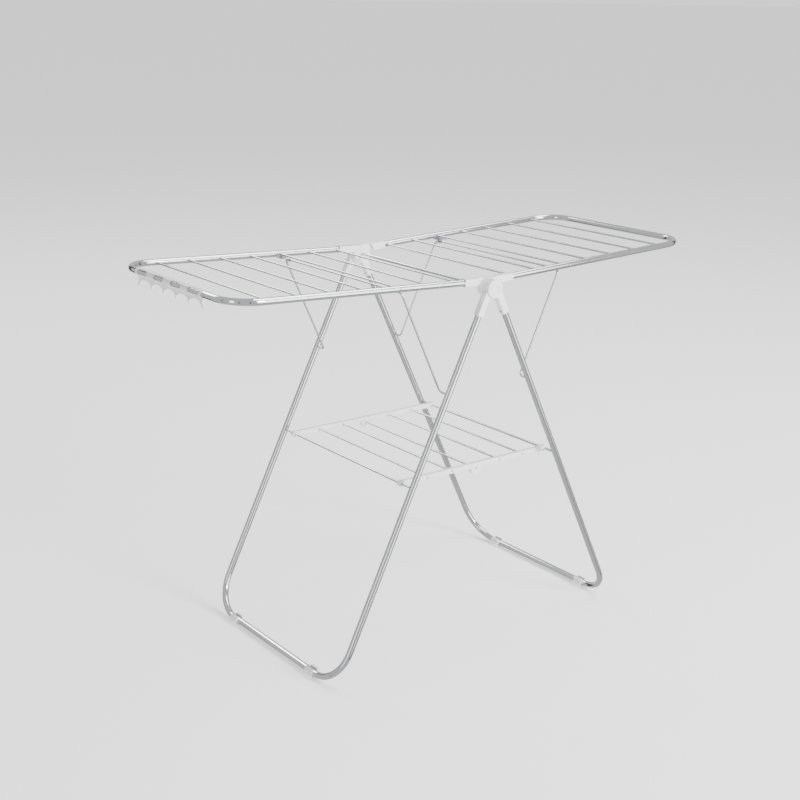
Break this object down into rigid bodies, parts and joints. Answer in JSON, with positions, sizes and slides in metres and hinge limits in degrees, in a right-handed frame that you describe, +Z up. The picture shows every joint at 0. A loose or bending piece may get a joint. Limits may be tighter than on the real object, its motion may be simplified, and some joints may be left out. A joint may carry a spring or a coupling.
{
  "type": "folding clothes drying rack",
  "caption": "Folding gull-wing clothes airer with two railed wings on wire struts, crossed leg frames, a folding lower shelf and a sock hanger.",
  "frame": {"origin": "on the floor, below the middle of the whole airer; the hub axle is 0.9 mm to +X of it", "axes": "+X along the wings towards the wing without the sock hanger, +Y along the rails away from the viewer, +Z up"},
  "size_m": [1.4034, 0.577, 0.9603],
  "materials": {
    "polished_tube": "bright polished tube",
    "polished_wire": "bright polished wire",
    "white_plastic": "satin white moulding",
    "hanger_plastic": "satin white moulding",
    "fastener_steel": "zinc-plated steel",
    "hook_steel": "pressed steel"
  },
  "bodies": {
    "left_frame": {"left_leg_tube": "polished_tube", "left_leg_socket_near": "white_plastic", "left_leg_socket_far": "white_plastic", "left_leg_socket_screws": "fastener_steel", "left_foot_near": "white_plastic", "left_foot_far": "white_plastic", "hub_axle": "polished_wire", "hub_cap_near": "white_plastic", "hub_cap_far": "white_plastic"},
    "right_frame": {"right_leg_tube": "polished_tube", "right_leg_socket_near": "white_plastic", "right_leg_socket_far": "white_plastic", "right_leg_socket_screws": "fastener_steel", "right_foot_near": "white_plastic", "right_foot_far": "white_plastic"},
    "left_wing": {"left_wing_tube": "polished_tube", "left_wing_socket_near": "white_plastic", "left_wing_socket_far": "white_plastic", "left_wing_socket_screws": "fastener_steel", "left_strut_hooks": "hook_steel", "left_hook_rivets": "fastener_steel", "left_wing_rail_1": "polished_wire", "left_wing_rail_2": "polished_wire", "left_wing_rail_3": "polished_wire", "left_wing_rail_4": "polished_wire", "left_wing_rail_5": "polished_wire", "left_wing_rail_6": "polished_wire", "left_wing_rail_7": "polished_wire"},
    "left_strut": {"left_strut": "polished_wire"},
    "left_shelf": {"left_shelf_bar_near": "white_plastic", "left_shelf_bar_far": "white_plastic", "left_shelf_rail_1": "polished_wire", "left_shelf_rail_2": "polished_wire", "left_shelf_pivot_rod": "polished_wire", "shelf_hinge_rod": "polished_wire"},
    "right_wing": {"right_wing_tube": "polished_tube", "right_wing_socket_near": "white_plastic", "right_wing_socket_far": "white_plastic", "right_wing_socket_screws": "fastener_steel", "right_strut_hooks": "hook_steel", "right_hook_rivets": "fastener_steel", "right_wing_rail_1": "polished_wire", "right_wing_rail_2": "polished_wire", "right_wing_rail_3": "polished_wire", "right_wing_rail_4": "polished_wire", "right_wing_rail_5": "polished_wire", "right_wing_rail_6": "polished_wire", "right_wing_rail_7": "polished_wire"},
    "right_strut": {"right_strut": "polished_wire"},
    "right_shelf": {"right_shelf_bar_near": "white_plastic", "right_shelf_bar_far": "white_plastic", "right_shelf_rail_1": "polished_wire", "right_shelf_rail_2": "polished_wire", "right_shelf_pivot_rod": "polished_wire"},
    "sock_hanger": {"sock_hanger": "hanger_plastic"}
  },
  "joints": [
    {"name": "frame_fold", "type": "hinge", "parent": "left_frame", "child": "right_frame", "pos_m": [0.0009, 0, 0.907], "axis": [0, 1, 0], "range_deg": [0, 50]},
    {"name": "left_wing_fold", "type": "hinge", "parent": "left_frame", "child": "left_wing", "pos_m": [0.0009, 0, 0.907], "axis": [0, -1, 0], "range_deg": [0, 54.6]},
    {"name": "right_wing_fold", "type": "hinge", "parent": "right_frame", "child": "right_wing", "pos_m": [0.0009, 0, 0.907], "axis": [0, 1, 0], "range_deg": [0, 54.6]},
    {"name": "left_strut_swing", "type": "hinge", "parent": "left_frame", "child": "left_strut", "pos_m": [-0.1257, 0, 0.66626], "axis": [0, -1, 0], "range_deg": [0, 107]},
    {"name": "right_strut_swing", "type": "hinge", "parent": "right_frame", "child": "right_strut", "pos_m": [0.1275, 0, 0.66626], "axis": [0, 1, 0], "range_deg": [0, 107]},
    {"name": "left_shelf_fold", "type": "hinge", "parent": "left_frame", "child": "left_shelf", "pos_m": [-0.2274, 0, 0.4553], "axis": [0, -1, 0], "range_deg": [0, 63]},
    {"name": "right_shelf_fold", "type": "hinge", "parent": "left_shelf", "child": "right_shelf", "pos_m": [0.0009, 0, 0.44729], "axis": [0, 1, 0], "range_deg": [0, 176]},
    {"name": "sock_hanger_swing", "type": "hinge", "parent": "left_wing", "child": "sock_hanger", "pos_m": [-0.69188, 0.0125, 0.95055], "axis": [0, 1, 0], "range_deg": [-50, 50]}
  ],
  "couplings": [
    {"joint": "left_strut_swing", "follows": "left_wing_fold", "ratio": 1.9538},
    {"joint": "right_strut_swing", "follows": "right_wing_fold", "ratio": 1.9538},
    {"joint": "left_shelf_fold", "follows": "frame_fold", "ratio": 1.2598},
    {"joint": "right_shelf_fold", "follows": "frame_fold", "ratio": 3.5195}
  ]
}
